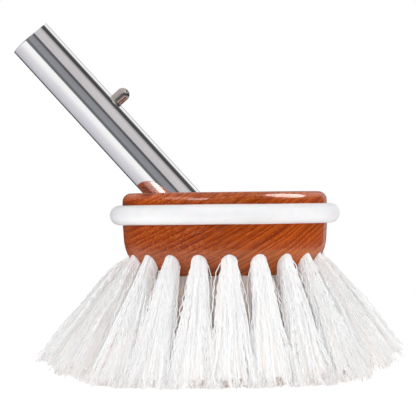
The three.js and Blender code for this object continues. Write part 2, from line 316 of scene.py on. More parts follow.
class Nodes:
    """A node tree under construction. Each method adds a node and returns the socket that it gives."""

    def __init__(self, tree):
        self.tree = tree

    def add(self, kind, inputs=None, **settings):
        node = self.tree.nodes.new(kind)
        for name, value in settings.items():
            setattr(node, name, value)
        for key, value in (inputs or {}).items():
            self.give(node.inputs[key], value)
        return node

    def give(self, socket, value):
        if isinstance(value, bpy.types.NodeSocket):
            self.tree.links.new(value, socket)
        else:
            socket.default_value = value

    def place(self):
        return self.add("ShaderNodeTexCoord").outputs["Object"]

    def attribute(self, name):
        return self.add("ShaderNodeAttribute", attribute_name=name).outputs["Fac"]

    def maths(self, operation, *values):
        return self.add("ShaderNodeMath", dict(enumerate(values)), operation=operation).outputs[0]

    def dot(self, vector, direction):
        inputs = {0: vector, 1: tuple(direction)}
        return self.add("ShaderNodeVectorMath", inputs, operation="DOT_PRODUCT").outputs["Value"]

    def vector(self, x, y, z):
        return self.add("ShaderNodeCombineXYZ", {0: x, 1: y, 2: z}).outputs[0]

    def scaled(self, value, scale):
        return self.maths("MULTIPLY", value, scale)

    def noise(self, vector, scale, detail=2.0, roughness=0.5):
        inputs = {"Vector": vector, "Scale": scale, "Detail": detail, "Roughness": roughness}
        return self.add("ShaderNodeTexNoise", inputs).outputs[0]

    def layers(self, value, scale, detail=2.0, roughness=0.5):
        inputs = {"W": value, "Scale": scale, "Detail": detail, "Roughness": roughness}
        return self.add("ShaderNodeTexNoise", inputs, noise_dimensions="1D").outputs[0]

    def span(self, value, low, high, to_low=0.0, to_high=1.0):
        """The value's share of the way from low to high, eased at both ends
        and put between two new values."""
        inputs = {0: value, 1: low, 2: high, 3: to_low, 4: to_high}
        return self.add("ShaderNodeMapRange", inputs, interpolation_type="SMOOTHSTEP").outputs[0]

    def ramp(self, value, *stops):
        node = self.add("ShaderNodeValToRGB", {0: value})
        elements = node.color_ramp.elements
        while len(elements) < len(stops):
            elements.new(0.5)
        for element, (position, colour) in zip(elements, stops):
            element.position = position
            element.color = (*colour, 1)
        return node.outputs[0]

    def mix(self, share, a, b, blend="MIX"):
        colours = {0: share, 6: a, 7: b}
        for key in (6, 7):
            if isinstance(colours[key], tuple):
                colours[key] = (*colours[key], 1)
        return self.add("ShaderNodeMix", colours, data_type="RGBA", blend_type=blend).outputs[2]


class Look(Nodes):
    """A material with one principled surface."""

    def __init__(self, name, **plain):
        self.material = bpy.data.materials.new(name)
        self.material.use_nodes = True
        super().__init__(self.material.node_tree)
        self.surface = self.tree.nodes["Principled BSDF"]
        for socket, value in plain.items():
            self.set(socket.replace("_", " "), value)

    def set(self, socket, value):
        self.give(self.surface.inputs[socket], value)

    def bump(self, height, strength, distance, socket="Normal"):
        inputs = {"Height": height, "Strength": strength, "Distance": distance * MM}
        self.set(socket, self.add("ShaderNodeBump", inputs).outputs[0])


# The wood's growth layers are tilted planes, and its fibres run uphill to the right inside them
GRAIN_LAYER = Vector((-0.575, -0.175, 1)).normalized()
GRAIN_ALONG = Vector((1, 0, 0.575)).normalized()
GRAIN_ACROSS = GRAIN_LAYER.cross(GRAIN_ALONG)
GRAIN_SWAY = 0.008
RINGS_IN_A_METRE = 330
STREAKS_ALONG, STREAKS_ACROSS = 45, 900
PORES_ALONG, PORES_ACROSS = 90, 1300
# Millimetres below the block's top where its paler flecks with their painted glints, and its own tone with
# painted light, set in and are full
FLECKS_AND_GLINTS_START, FLECKS_AND_GLINTS_FULL = 6, 3
TOP_TONE_AND_LIGHT_START, TOP_TONE_AND_LIGHT_FULL = 8, 4
# Turns metres from the block's axis into a share of its width
WIDTH_SHARE = 8
CHAMFER_PAINTED_LIGHT = 0.2
CHAMFER_ROUGHNESS = 0.2


def grain_place(look, along, across, layer, lengthways, crossways):
    """A place in the wood, stretched so that a noise there runs along the fibres."""
    return look.vector(
        look.scaled(along, lengthways), look.scaled(across, crossways), look.scaled(layer, crossways)
    )


def varnished_wood():
    look = Look(
        "varnished_wood", Coat_Weight=0.4, Coat_Roughness=0.09, Coat_IOR=1.45, Specular_IOR_Level=0.05
    )
    place = look.place()
    along, across, layer = (look.dot(place, d) for d in (GRAIN_ALONG, GRAIN_ACROSS, GRAIN_LAYER))
    height = look.dot(place, (0, 0, 1))
    east = look.dot(place, (1, 0, 0))
    sway = look.scaled(look.noise(place, 14, 2), GRAIN_SWAY)
    layer = look.maths("ADD", layer, sway)
    # Growth rings: each one fades from a dark late line to a paler early band
    spacing = look.scaled(look.layers(layer, 110, 2), 2.4)
    ring = look.maths("FRACT", look.maths("MULTIPLY_ADD", layer, RINGS_IN_A_METRE, spacing))
    colour = look.ramp(
        ring,
        (0.0, (0.13, 0.015, 0.002)),
        (0.16, (0.27, 0.037, 0.004)),
        (0.5, (0.37, 0.062, 0.007)),
        (0.8, (0.47, 0.098, 0.013)),
        (0.9, (0.38, 0.066, 0.008)),
        (1.0, (0.13, 0.015, 0.002)),
    )
    plain = look.ramp(
        look.layers(layer, 60, 3),
        (0.3, (0.28, 0.040, 0.004)),
        (0.7, (0.43, 0.080, 0.009)),
    )
    colour = look.mix(look.span(look.noise(place, 38, 2), 0.35, 0.65, 0.05, 0.55), colour, plain)
    streaks = look.noise(grain_place(look, along, across, layer, STREAKS_ALONG, STREAKS_ACROSS), 1, 3, 0.6)
    streaked = look.ramp(streaks, (0.3, (0.66, 0.58, 0.5)), (0.7, (1.3, 1.3, 1.2)))
    colour = look.mix(0.7, colour, streaked, "MULTIPLY")
    pores = look.noise(grain_place(look, along, across, layer, PORES_ALONG, PORES_ACROSS), 1, 1)
    # Pale flecks in some pores, more of them to the left and most on the top, where they also paint the
    # varnish's speckled highlight, and dark ones in others
    pale_flecks_and_glints_left = look.span(east, 0.03, -0.05, 0.12, 0.4)
    pale_flecks_and_glints_top = look.span(height, (TOP - FLECKS_AND_GLINTS_START) * MM, (TOP - FLECKS_AND_GLINTS_FULL) * MM, 0.0, 0.6)
    flecks_and_glints = look.maths("MAXIMUM", pale_flecks_and_glints_left, pale_flecks_and_glints_top)
    pale_flecks_and_glints = look.maths("MULTIPLY", look.span(pores, 0.58, 0.68), flecks_and_glints)
    colour = look.mix(pale_flecks_and_glints, colour, (0.60, 0.24, 0.11))
    colour = look.mix(look.span(pores, 0.38, 0.3, 0, 0.55), colour, (0.15, 0.02, 0.005))
    crease = UNDERSIDE + CHAMFER_HEIGHT
    chamfer = look.span(height, (crease + 1) * MM, (crease - 1.5) * MM)
    # Painted light: the chamfer is made paler, standing in for light that the white bristles and floor below
    # reflect onto it
    colour = look.mix(look.scaled(chamfer, CHAMFER_PAINTED_LIGHT), colour, (0.55, 0.26, 0.17))
    # The wood's tone changes from left to right, on the top in another way than on the side. Part of this is
    # painted light and shade for how the lamps fall: the top's left is lightened where the tube shades it,
    # and the right is made less blue, painting out the varnish's bluish reflection
    across_width = look.maths("MULTIPLY_ADD", east, WIDTH_SHARE, 0.5)
    tone_and_painted_light = look.ramp(
        across_width,
        (0.02, (1.07, 0.981, 0.763)),
        (0.2, (0.937, 0.894, 0.807)),
        (0.5, (0.926, 0.894, 0.785)),
        (0.78, (1.2, 1.16, 0.676)),
    )
    top_tone_and_painted_light = look.ramp(
        across_width,
        (0.1, (1.53, 1.5, 0.981)),
        (0.42, (1.05, 1.09, 1.09)),
        (0.74, (1.11, 1.09, 0.654)),
    )
    on_top = look.span(height, (TOP - TOP_TONE_AND_LIGHT_START) * MM, (TOP - TOP_TONE_AND_LIGHT_FULL) * MM)
    tone_and_painted_light = look.mix(on_top, tone_and_painted_light, top_tone_and_painted_light)
    colour = look.mix(1.0, colour, tone_and_painted_light, "MULTIPLY")
    look.set("Base Color", colour)
    smears = look.noise(place, 45, 3)
    rough = look.span(smears, 0.3, 0.7, 0.34, 0.46)
    look.set("Roughness", look.maths("ADD", rough, look.scaled(chamfer, CHAMFER_ROUGHNESS)))
    relief = look.maths("ADD", streaks, pores)
    look.bump(relief, 0.14, 0.25)
    look.bump(relief, 0.05, 0.25, "Coat Normal")
    return look.material


def white_vinyl():
    look = Look("white_vinyl", Subsurface_Weight=0.12, Subsurface_Scale=0.002)
    place = look.place()
    clouds = look.noise(place, 60, 3)
    colour = look.ramp(clouds, (0.3, (0.868, 0.868, 0.879)), (0.7, (0.933, 0.933, 0.939)))
    look.set("Base Color", colour)
    scuffs = look.noise(place, 400, 3, 0.6)
    look.set("Roughness", look.span(scuffs, 0.3, 0.7, 0.3, 0.46))
    look.bump(look.noise(place, 900, 2), 0.05, 0.15)
    return look.material


def polished_steel(name, axis, origin, colour_low, colour_high, rough_low, rough_high):
    """Steel with fine lines along an axis, as drawing and polishing leave them."""
    look = Look(name, Metallic=1.0)
    side = BUTTON_SIDE if axis is TUBE_UP else TUBE_UP
    offset = {0: look.place(), 1: tuple(origin * MM)}
    from_axis = look.add("ShaderNodeVectorMath", offset, operation="SUBTRACT").outputs[0]
    along = look.dot(from_axis, axis)
    turn = look.maths("ARCTAN2", look.dot(from_axis, axis.cross(side)), look.dot(from_axis, side))
    lines = look.noise(look.vector(look.scaled(turn, 45), look.scaled(along, 14), 0.0), 1, 3, 0.6)
    smears = look.noise(from_axis, 55, 3)
    look.set("Base Color", look.ramp(smears, (0.3, colour_low), (0.7, colour_high)))
    smeared = look.span(smears, 0.25, 0.75, rough_low, rough_high)
    lined = look.span(lines, 0.3, 0.7, 0.85, 1.15)
    look.set("Roughness", look.maths("MULTIPLY", smeared, lined))
    look.bump(lines, 0.03, 0.05)
    return look.material


def white_bristle():
    look = Look("white_bristle", Specular_IOR_Level=0.3, Sheen_Weight=0.5, Sheen_Roughness=0.5)
    along = look.attribute("along")
    strand = look.attribute("strand")
    # The low end of the tints is warm and darker, painted shade for the core and the inner rows seen in the
    # gaps between tufts
    colour = look.ramp(
        strand,
        (0.0, (0.97, 0.86, 0.79)),
        (0.06, (0.98, 0.92, 0.88)),
        (0.11, (0.975, 0.975, 0.975)),
        (1.0, (0.98, 0.982, 0.985)),
    )
    # Darker tips: every fibre greys towards its tip, which is painted shade, and some fibres' ends turn
    # brown, partly dirt and partly painted shade
    tip_dirt_and_shade = look.maths("MULTIPLY", look.span(along, 0.95, 1.0), look.span(strand, 0.6, 1.0, 0.0, 0.7))
    colour = look.mix(look.span(along, 0.88, 1.0, 0.0, 0.25), colour, (0.86, 0.84, 0.84))
    colour = look.mix(tip_dirt_and_shade, colour, (0.62, 0.52, 0.46))
    flecks = look.noise(look.place(), 700, 2)
    colour = look.mix(look.span(flecks, 0.35, 0.65, 0, 0.25), colour, (0.96, 0.955, 0.955))
    look.set("Base Color", colour)
    look.set("Roughness", look.span(flecks, 0.3, 0.7, 0.38, 0.55))
    return look.material


WOOD = varnished_wood()
VINYL = white_vinyl()
BUTTON_MIDDLE = HANDLE @ Vector((0, 0, BUTTON_PLACE))
HANDLE_FOOT = HANDLE.to_translation()
TUBE_STEEL = polished_steel(
    "polished_tube", TUBE_UP, HANDLE_FOOT, (0.88, 0.87, 0.88), (0.94, 0.935, 0.935), 0.07, 0.11
)
BUTTON_STEEL = polished_steel(
    "polished_button", BUTTON_SIDE, BUTTON_MIDDLE, (0.30, 0.27, 0.25), (0.40, 0.36, 0.34), 0.16, 0.26
)
SPRING_STEEL = polished_steel(
    "spring_steel", TUBE_UP, BUTTON_MIDDLE, (0.42, 0.42, 0.43), (0.55, 0.55, 0.56), 0.25, 0.4
)
SCREW_UP = Vector((0, 0, 1))
SCREW_FOOT = Vector((SCREW_PLACE, 0, UNDERSIDE))
SCREW_STEEL = polished_steel(
    "screw_steel", SCREW_UP, SCREW_FOOT, (0.5, 0.5, 0.5), (0.66, 0.65, 0.63), 0.2, 0.34
)
BRISTLE = white_bristle()


# Tuft rows


def leaning(mouth, degrees):
    lean = math.radians(degrees)
    return mouth + OUTER_FIBRE_LENGTH * np.array((math.sin(lean), -math.cos(lean)))


def outer_row():
    """Leaves the chamfer and leans out past the foot of the inner rows."""
    out = CHAMFER_WIDTH * OUTER_MOUTH_RISE / CHAMFER_HEIGHT
    mouth = np.array((UNDERSIDE_RADIUS + out, UNDERSIDE + OUTER_MOUTH_RISE))
    near = np.array((FOOT_RADIUS + TUFT_GAP / 2, 0))
    return Row("outer_tuft", 20, 2, mouth, near, leaning(mouth, LEAN_SIDE), 40)


INNER_COUNTS = (("second_tuft", 14, 15, 24), ("third_tuft", 10, 0, 18), ("inner_tuft", 5, 18, 17))
FOOT_SHARE = FOOT_RADIUS / (2 * len(INNER_COUNTS) + 1)
TIP_SPREAD = FOOT_SHARE - TUFT_GAP / 2


def inner_row(index, name, count, turn, locks):
    """Leaves the underside, and its tips take an even share of the foot."""
    tip = FOOT_RADIUS - FOOT_SHARE * (2 * index + 1)
    mouth = (UNDERSIDE_RADIUS - TUFT_EDGE_MARGIN) * (1 - index / len(INNER_COUNTS))
    return Row(
        name,
        count,
        turn,
        np.array((mouth, UNDERSIDE)),
        np.array((tip - TIP_SPREAD, 0)),
        np.array((tip + TIP_SPREAD, 0)),
        locks,
    )


CENTRE_ROW = Row(
    "centre_tuft",
    1,
    0,
    np.array((0, UNDERSIDE)),
    np.array((-TIP_SPREAD, 0)),
    np.array((TIP_SPREAD, 0)),
    17,
)
ROWS = [outer_row(), *(inner_row(i, *row) for i, row in enumerate(INNER_COUNTS)), CENTRE_ROW]


def tuft_axis(row):
    axis = (row.near + row.far) / 2 - row.mouth
    return axis / np.linalg.norm(axis)


def far_tips(row, turn):
    """The far side of a tuft's tips. Outer tufts lean most at the brush's sides,
    above all below the handle."""
    if row.far[1] == 0:
        return row.far
    east = math.sin(turn)
    lean = LEAN_FRONT + (LEAN_SIDE - LEAN_FRONT) * abs(east) ** LEAN_POWER - LEAN_EXTRA * east
    return leaning(row.mouth, lean)


def tuft_turns(row):
    """The angle of each tuft of a row about the block's axis, counted from the front."""
    return [math.radians(row.turn + 360 / row.count * index) for index in range(row.count)]


def tuft_matrix(turn):
    """Turns a plane where X runs outwards, Y sideways and Z up to a tuft's place on the block."""
    return Matrix.Rotation(turn - math.pi / 2, 4, "Z")


# Block


def eased(before, corner, after, reach, steps):
    """Points on a curve that cuts a corner from a reach before it to a reach after it."""
    before, corner, after = (Vector(point) for point in (before, corner, after))
    start = corner + (before - corner).normalized() * reach
    end = corner + (after - corner).normalized() * reach
    shares = np.linspace(0, 1, steps)
    return [tuple(start * (1 - s) ** 2 + corner * 2 * s * (1 - s) + end * s**2) for s in shares]


def block_outline():
    groove = CORD_RADIUS + FIT_GAP
    lip = math.acos((RING_RADIUS - BLOCK_RADIUS) / groove)
    start = (0, UNDERSIDE)
    foot = (UNDERSIDE_RADIUS, UNDERSIDE)
    crease = (BLOCK_RADIUS - SIDE_TAPER, UNDERSIDE + CHAMFER_HEIGHT)
    lower_lip = (BLOCK_RADIUS, RING_HEIGHT - groove * math.sin(lip))
    shoulder = (BLOCK_RADIUS - TOP_ROUNDING, TOP - TOP_ROUNDING)
    return [
        start,
        *eased(start, foot, crease, FOOT_EDGE_ROUNDING, 6),
        *eased(foot, crease, lower_lip, CHAMFER_BLEND, 14),
        *arc((RING_RADIUS, RING_HEIGHT), groove, 180 + math.degrees(lip), 180 - math.degrees(lip), 24),
        *arc(shoulder, TOP_ROUNDING, 0, 90, 18),
        (0, TOP),
    ]


def screw_outline(gap):
    """The screw standing on its head, or with a gap the hole that it sits in."""
    return [
        (0, UNDERSIDE - gap),
        (SCREW_HEAD_RADIUS + gap, UNDERSIDE - gap),
        (SCREW_HEAD_RADIUS + gap, UNDERSIDE + SCREW_HEAD_RIM + gap),
        (SCREW_RADIUS + gap, UNDERSIDE + SCREW_HEAD_HEIGHT + gap),
        (SCREW_RADIUS + gap, SCREW_HIGH.z - SCREW_TIP_LENGTH + gap),
        (0, SCREW_HIGH.z + gap),
    ]


def bar_outline(radius, low, high):
    return [(0, low), (radius, low), (radius, high), (0, high)]


def tuft_hole(row, turn):
    axis = tuft_axis(row)
    tip = math.atan2(axis[0], axis[1])
    matrix = (
        tuft_matrix(turn)
        @ Matrix.Translation((row.mouth[0], 0, row.mouth[1]))
        @ Matrix.Rotation(tip, 4, "Y")
    )
    return turned("hole", bar_outline(TUFT_HOLE_RADIUS, -TUFT_HOLE_DEPTH, 2 * TUFT_HOLE_RADIUS), 40, matrix)


def make_block():
    block = new_object("wooden_block", turned("wooden_block", block_outline(), BLOCK_SIDES))
    holes = [tuft_hole(row, turn) for row in ROWS for turn in tuft_turns(row)]
    bore_outline = bar_outline(TUBE_RADIUS + FIT_GAP, -TUBE_INSERTION - FIT_GAP, TUBE_REACH)
    bore = turned("bore", bore_outline, TUBE_SIDES, HANDLE)
    carved(block, joined("holes", [*holes, bore]))
    carved(block, turned("screw_hole", screw_outline(FIT_GAP), 32, Matrix.Translation((SCREW_PLACE, 0, 0))))
    smooth(block)
    return finished(block, WOOD, "varnished_wood", "block")


# Bumper ring


def make_ring():
    """A soft cord whose height wavers a little, as it does where it has been pressed into its groove."""
    outline = arc((RING_RADIUS, RING_HEIGHT), CORD_RADIUS, 0, 360 - 360 / CORD_SIDES, CORD_SIDES)
    ring = new_object("vinyl_ring", turned("vinyl_ring", outline, BLOCK_SIDES))
    count = len(ring.data.vertices)
    points = np.empty(count * 3, np.float32)
    ring.data.vertices.foreach_get("co", points)
    points = points.reshape(-1, 3)
    angle = np.arctan2(points[:, 1], points[:, 0])
    points[:, 2] += RING_WAVER * MM * (np.sin(3 * angle + 1) + 0.6 * np.sin(7 * angle))
    ring.data.vertices.foreach_set("co", points.ravel())
    ring.data.update()
    smooth(ring, 60)
    return finished(ring, VINYL, "white_vinyl", "bumper_ring")


# Handle tube, button, spring and screw


def tube_outline():
    """The wall's outline, with a ring just before each rounded lip,
    so that the shine runs straight up to it."""
    low, high, lip = -TUBE_INSERTION, TUBE_REACH, TUBE_LIP
    return [
        *arc((TUBE_RADIUS - lip, low + lip), lip, -90, 0, 5),
        (TUBE_RADIUS, low + 2 * lip),
        (TUBE_RADIUS, high - 2 * lip),
        *arc((TUBE_RADIUS - lip, high - lip), lip, 0, 90, 5),
        *arc((TUBE_INNER_RADIUS + lip, high - lip), lip, 90, 180, 5),
        (TUBE_INNER_RADIUS, high - 2 * lip),
        (TUBE_INNER_RADIUS, low + 2 * lip),
        *arc((TUBE_INNER_RADIUS + lip, low + lip), lip, 180, 270, 5),
    ]


def make_tube():
    tube = new_object("steel_tube", turned("steel_tube", tube_outline(), TUBE_SIDES, HANDLE))
    across = HANDLE @ Matrix.Translation((0, 0, BUTTON_PLACE)) @ Matrix.Rotation(math.pi / 2, 4, "Y")
    carved(tube, turned("button_hole", bar_outline(BUTTON_RADIUS + FIT_GAP, 0, 2 * TUBE_RADIUS), 64, across))
    carved(tube, turned("screw_hole", screw_outline(FIT_GAP), 32, Matrix.Translation((SCREW_PLACE, 0, 0))))
    smooth(tube)
    return finished(tube, TUBE_STEEL, "polished_steel", "handle_tube")


def make_button():
    shoulder = BUTTON_TIP - BUTTON_RADIUS
    edge = FLANGE_EDGE
    outline = [
        (0, FLANGE_TOP - FLANGE_THICKNESS),
        *arc((FLANGE_RADIUS - edge, FLANGE_TOP - FLANGE_THICKNESS + edge), edge, -90, 0, 4),
        *arc((FLANGE_RADIUS - edge, FLANGE_TOP - edge), edge, 0, 90, 4),
        (BUTTON_RADIUS, FLANGE_TOP),
        *arc((0, shoulder), BUTTON_RADIUS, 0, 88, 24),
        (0, BUTTON_TIP),
    ]
    matrix = HANDLE @ Matrix.Translation((0, 0, BUTTON_PLACE)) @ Matrix.Rotation(math.pi / 2, 4, "Y")
    button = new_object("button_pin", turned("button_pin", outline, 64, matrix))
    smooth(button)
    return finished(button, BUTTON_STEEL, "polished_steel", "snap_button", body="button")


def spring_legs():
    """The leaf's middle line as (along the tube, towards the button) points from the button's middle:
    the upper leg down to the bend, then the bend and the lower leg."""
    pad = np.linspace((SPRING_NOSE, SPRING_UPPER), (-SPRING_NOSE, SPRING_UPPER), 6)
    slope = np.linspace((-SPRING_NOSE, SPRING_UPPER), (-SPRING_LENGTH, SPRING_BEND_RADIUS), 24)
    bend = np.array(arc((-SPRING_LENGTH, 0), SPRING_BEND_RADIUS, 90, 270, 16))
    lower = np.linspace((-SPRING_LENGTH, -SPRING_BEND_RADIUS), (SPRING_NOSE, -SPRING_LOWER), 16)
    return np.concatenate([pad, slope[1:]]), np.concatenate([bend[1:], lower[1:]])


def strip(name, line, off):
    """A closed strip of the leaf's width and thickness along its middle line."""
    edge = SPRING_THICKNESS / 4
    half, wide = SPRING_THICKNESS / 2, SPRING_WIDTH / 2
    section = [
        (half, -wide + edge),
        (half - edge, -wide),
        (edge - half, -wide),
        (-half, -wide + edge),
        (-half, wide - edge),
        (edge - half, wide),
        (half - edge, wide),
        (half, wide - edge),
    ]
    points = []
    for out, side in section:
        middle = line + off * out
        points.append(np.column_stack([middle[:, 1], np.full(len(line), side), middle[:, 0]]))
    count, sides = len(line), len(section)
    here = np.arange(count - 1)
    walls = np.concatenate(
        [
            np.stack([k * count + here, k * count + here + 1, n * count + here + 1, n * count + here], 1)
            for k, n in ((k, (k + 1) % sides) for k in range(sides))
        ]
    )
    caps = np.stack([np.arange(sides) * count, np.arange(sides) * count + count - 1])
    placed = moved(np.concatenate(points), HANDLE @ Matrix.Translation((0, 0, BUTTON_PLACE)))
    mesh = new_mesh(name, placed, walls, caps)
    face_outwards(mesh)
    leg = new_object(name, mesh)
    smooth(leg)
    return leg


def make_spring():
    """A leaf bent to a V, made in two pieces. The upper leg, which bends as the button is pressed, is left
    unattached with its place baked in, and the rest stays in the tube with the brush.
    """
    upper, lower = spring_legs()
    line = np.concatenate([upper, lower])
    along = np.gradient(line, axis=0)
    along /= np.linalg.norm(along, axis=1)[:, None]
    off = np.stack([-along[:, 1], along[:, 0]], 1)
    seam = len(upper)
    foot = strip("leaf_spring_foot", line[seam - 1 :], off[seam - 1 :])
    finished(foot, SPRING_STEEL, "polished_steel", "button_spring")
    leg = strip("leaf_spring_leg", line[:seam], off[:seam])
    finished(leg, SPRING_STEEL, "polished_steel", "button_spring", body=None)
    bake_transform(leg)


def make_screw():
    """A countersunk wood screw with a cross slot, from the underside into the tube's wall."""
    thread_start = UNDERSIDE + SCREW_HEAD_HEIGHT + 2 * SCREW_PITCH
    thread_end = SCREW_HIGH.z - SCREW_TIP_LENGTH
    core = SCREW_RADIUS - SCREW_THREAD_DEPTH
    turns = int((thread_end - thread_start) / SCREW_PITCH)
    thread = [
        point
        for turn in range(turns)
        for point in (
            (core, thread_start + turn * SCREW_PITCH),
            (SCREW_RADIUS, thread_start + (turn + 0.5) * SCREW_PITCH),
            (core, thread_start + (turn + 0.9) * SCREW_PITCH),
        )
    ]
    outline = [
        (0, UNDERSIDE),
        (SCREW_HEAD_RADIUS, UNDERSIDE),
        (SCREW_HEAD_RADIUS, UNDERSIDE + SCREW_HEAD_RIM),
        (SCREW_RADIUS, UNDERSIDE + SCREW_HEAD_HEIGHT),
        (SCREW_RADIUS, thread_start - SCREW_THREAD_DEPTH),
        *thread,
        (core, thread_end),
        (0, SCREW_HIGH.z),
    ]
    place = Matrix.Translation((SCREW_PLACE, 0, 0))
    screw = new_object("wood_screw", turned("wood_screw", outline, 40, place))
    for quarter in (0, math.pi / 2):
        slot = bmesh.new()
        bmesh.ops.create_cube(
            slot,
            size=MM,
            matrix=Matrix.Translation((SCREW_PLACE * MM, 0, UNDERSIDE * MM))
            @ Matrix.Rotation(quarter, 4, "Z")
            @ Matrix.Diagonal((SCREW_SLOT_LENGTH, SCREW_SLOT_WIDTH, 2 * SCREW_SLOT_DEPTH, 1)),
        )
        mesh = bpy.data.meshes.new("slot")
        slot.to_mesh(mesh)
        slot.free()
        carved(screw, mesh)
    smooth(screw)
    return finished(screw, SCREW_STEEL, "polished_steel", "tube_screw")


# Tufts


def scattered(rng, locks):
    """Where each fibre of a tuft starts and ends in a unit disc, and the lock of fibres that it belongs to.
    The fibres of a lock gather towards its tip."""
    index = np.arange(locks)
    radius = ((index + 0.5) / locks) ** LOCK_CROWDING * 0.95
    angle = index * math.pi * (3 - math.sqrt(5)) + rng.uniform(0, 2 * math.pi)
    middle = np.stack([radius * np.cos(angle), radius * np.sin(angle)], 1)
    lock = np.repeat(index, FIBRES_IN_A_LOCK)
    offset = rng.normal(0, LOCK_WIDTH, (len(lock), 2))
    strewn = rng.normal(0, LOCK_SCATTER, (locks, 2))
    ends = [middle[lock] + offset, (middle + strewn)[lock] + offset * LOCK_GATHER]
    start, end = (spot / np.maximum(np.linalg.norm(spot, axis=1), 1)[:, None] for spot in ends)
    return start, end, lock


def tip_places(row, far, spot, rng):
    """Where fibres at these places in the tuft's unit disc end, as (outwards, sideways, up).
    Each tuft fills a rounded part of the ring that its row has at the foot,
    and the middle one fills a disc."""
    scatter = rng.normal(0, TIP_SCATTER, spot.shape)
    if row.count == 1:
        return np.column_stack([row.far[0] * (spot + scatter), np.zeros(len(spot))])
    stretch = np.linalg.norm(spot, axis=1) / np.maximum((spot**4).sum(1) ** 0.25, 1e-9)
    full = spot * stretch[:, None] + scatter
    share = (full[:, 0] + 1) / 2
    radius = row.near[0] + share * (far[0] - row.near[0])
    turn = NEIGHBOUR_MIXING * full[:, 1] * (math.pi / row.count - TUFT_GAP / (row.near[0] + far[0]))
    return np.stack([radius * np.cos(turn), radius * np.sin(turn), far[1] * share], 1)


def fibre_lines(row, turn, rng):
    """The middle lines of a tuft's fibres, fibres by points by 3, with X outwards, Y sideways and Z up,
    and the outline of the dense core that they lie round, as sides by points by 3."""
    start, end, lock = scattered(rng, row.locks)
    count = len(start)
    east = math.sin(turn)
    axis = np.insert(tuft_axis(row), 1, 0)
    outwards = np.array((-axis[2], 0, axis[0]))
    sideways = np.array((0, 1, 0))
    mouth = np.insert(row.mouth, 1, 0)
    around = np.arange(CORE_SIDES) * 2 * math.pi / CORE_SIDES
    rim = np.stack([np.cos(around), np.sin(around)], 1)
    start = np.concatenate([start, CORE_SHARE * rim])
    end = np.concatenate([end, CORE_TIP_SHARE * rim])
    root = mouth + ROOT_SPREAD * (start[:, :1] * outwards + start[:, 1:] * sideways)
    tip = tip_places(row, far_tips(row, turn), end, rng)
    tip += rng.normal(0, TUFT_SCATTER, 3) * (1, 1, 0)
    cut = rng.uniform(SHORTEST_LOCK, LONGEST_LOCK, row.locks)[lock] + rng.normal(0, CUT_SCATTER, count)
    cut = np.concatenate([cut, np.full(CORE_SIDES, CORE_LENGTH)])
    share = np.linspace(0, 1, FIBRE_POINTS) * cut[:, None] * (1 - LENGTH_EXTRA * east)
    reach = tip - root
    if row.far[1]:
        bulge = np.where(reach @ outwards > 0, OUT_SPREAD, 1)
    else:
        bulge = np.full(len(start), INNER_OUT_SPREAD)
    stray = rng.random(count) < STRAY_SHARE
    spread = SIDE_SPREAD_FRONT + (SIDE_SPREAD_SIDE - SIDE_SPREAD_FRONT) * east**2
    widening = np.concatenate([np.where(stray, STRAY_SIDE_SPREAD, spread), np.full(CORE_SIDES, spread)])
    line = root[:, None] + (share * (reach @ axis)[:, None])[..., None] * axis
    line = line + (share ** bulge[:, None] * (reach @ outwards)[:, None])[..., None] * outwards
    line = line + (share ** widening[:, None] * (reach @ sideways)[:, None])[..., None] * sideways
    hidden = root[:, None] - axis * np.array((ROOT_DEPTH, ROOT_DEPTH / 2))[None, :, None]
    core = np.concatenate([hidden, line], 1)[count:]
    reach, line, share, hidden = (part[:count] for part in (reach, line, share, hidden))
    # Crimp: the fibres of a lock wave together, and a few stray ones wave on their own
    run = share * np.linalg.norm(reach, axis=1)[:, None]
    phase = rng.uniform(0, 2 * math.pi, row.locks)[lock] + rng.normal(0, WAVE_SCATTER, count)
    phase = np.where(stray, rng.uniform(0, 2 * math.pi, count), phase)[:, None]
    heading = rng.uniform(0, 2 * math.pi, row.locks)[lock] + rng.normal(0, WAVE_SCATTER, count)
    size = CRIMP_SIZE * rng.uniform(0.7, 1.25, count) * np.where(stray, STRAY_CRIMP, 1)
    grown = np.clip(run / CRIMP_LENGTH, 0, 1)
    wave = size[:, None] * grown * np.sin(2 * math.pi * run / CRIMP_LENGTH + phase)
    sway_phase = rng.uniform(0, 2 * math.pi, row.locks)[lock][:, None]
    sway = SWAY_SIZE * grown * np.sin(2 * math.pi * run / SWAY_LENGTH + sway_phase)
    loose = np.where(stray, rng.normal(0, STRAY_REACH, count), 0)[:, None]
    loose = loose * np.sin(math.pi * share**STRAY_PEAK)
    turned_wave = (np.cos(heading), np.sin(heading))
    for direction, part in zip((outwards, sideways), turned_wave):
        line = line + (part[:, None] * wave + sway + loose)[..., None] * direction
        loose = loose * np.sign(part)[:, None]
    curl = np.clip((share - TIP_CURL_START) / (1 - TIP_CURL_START), 0, 1) ** 2
    for direction in (outwards, sideways):
        line = line + (curl * rng.normal(0, TIP_CURL, count)[:, None])[..., None] * direction
    line = np.concatenate([hidden, line], 1)
    line[..., 2] = np.maximum(line[..., 2], FIBRE_RADIUS + FLOOR_GAP)
    return line, core


